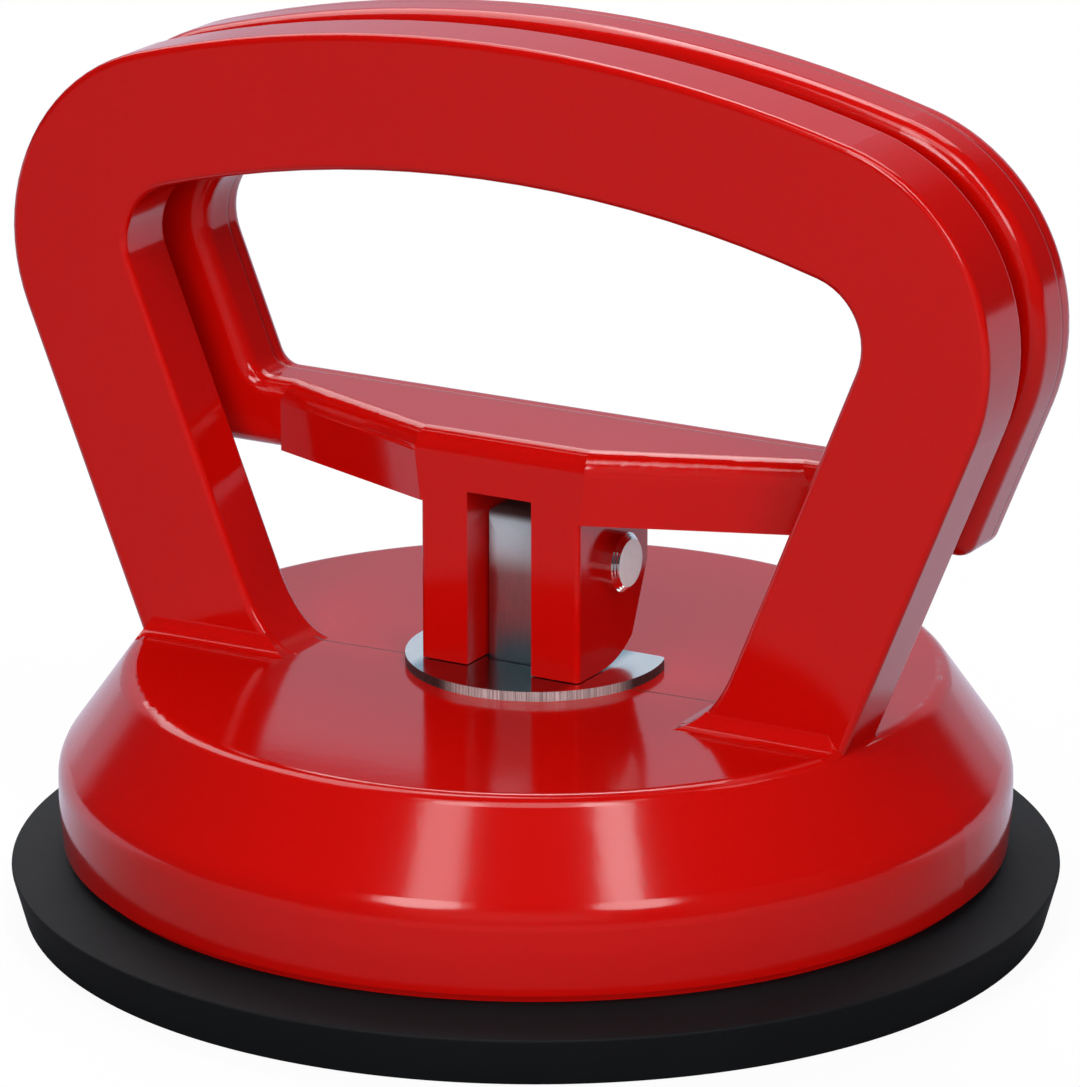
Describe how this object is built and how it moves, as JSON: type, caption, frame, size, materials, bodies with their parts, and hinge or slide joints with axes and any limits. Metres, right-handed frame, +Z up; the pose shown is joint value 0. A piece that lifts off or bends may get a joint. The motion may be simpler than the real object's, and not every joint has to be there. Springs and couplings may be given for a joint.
{
  "type": "floor tile suction lifter",
  "caption": "One-hand vacuum lifter: rubber suction cup under a red plastic dome with a fixed handle loop and a matching squeeze lever that works a steel draw stud.",
  "frame": {"origin": "centre of the pad's sealing face, on the surface it stands on", "axes": "+Z up, X along the handle, the lever lies back towards +Y"},
  "size_m": [0.1216, 0.118, 0.101],
  "materials": {
    "red_abs": "gloss moulded",
    "lever_abs": "gloss moulded",
    "zinc_steel": "bright zinc plated, turned end",
    "stud_steel": "bright zinc plated",
    "plate_steel": "bright zinc plated, sheared edge",
    "insert_steel": "plain",
    "pad_rubber": "satin moulded"
  },
  "bodies": {
    "base": {"housing": "red_abs", "wear_plate": "plate_steel", "suction_pad": "pad_rubber"},
    "stud": {"draw_stud": "stud_steel", "insert_disc": "insert_steel"},
    "squeeze_lever": {"lever": "lever_abs", "pivot_pin": "zinc_steel"}
  },
  "joints": [
    {"name": "stud_slide", "type": "slide", "parent": "base", "child": "stud", "axis": [0, 0, 1], "range_m": [-0.0034, 0], "deforming": ["suction_pad"]},
    {"name": "lever_pivot", "type": "hinge", "parent": "stud", "child": "squeeze_lever", "pos_m": [0, 0, 0.0412], "axis": [-1, 0, 0], "range_deg": [0, 70]}
  ],
  "couplings": [
    {"joint": "stud_slide", "follows": "lever_pivot", "m_per_rad": -0.00275}
  ]
}
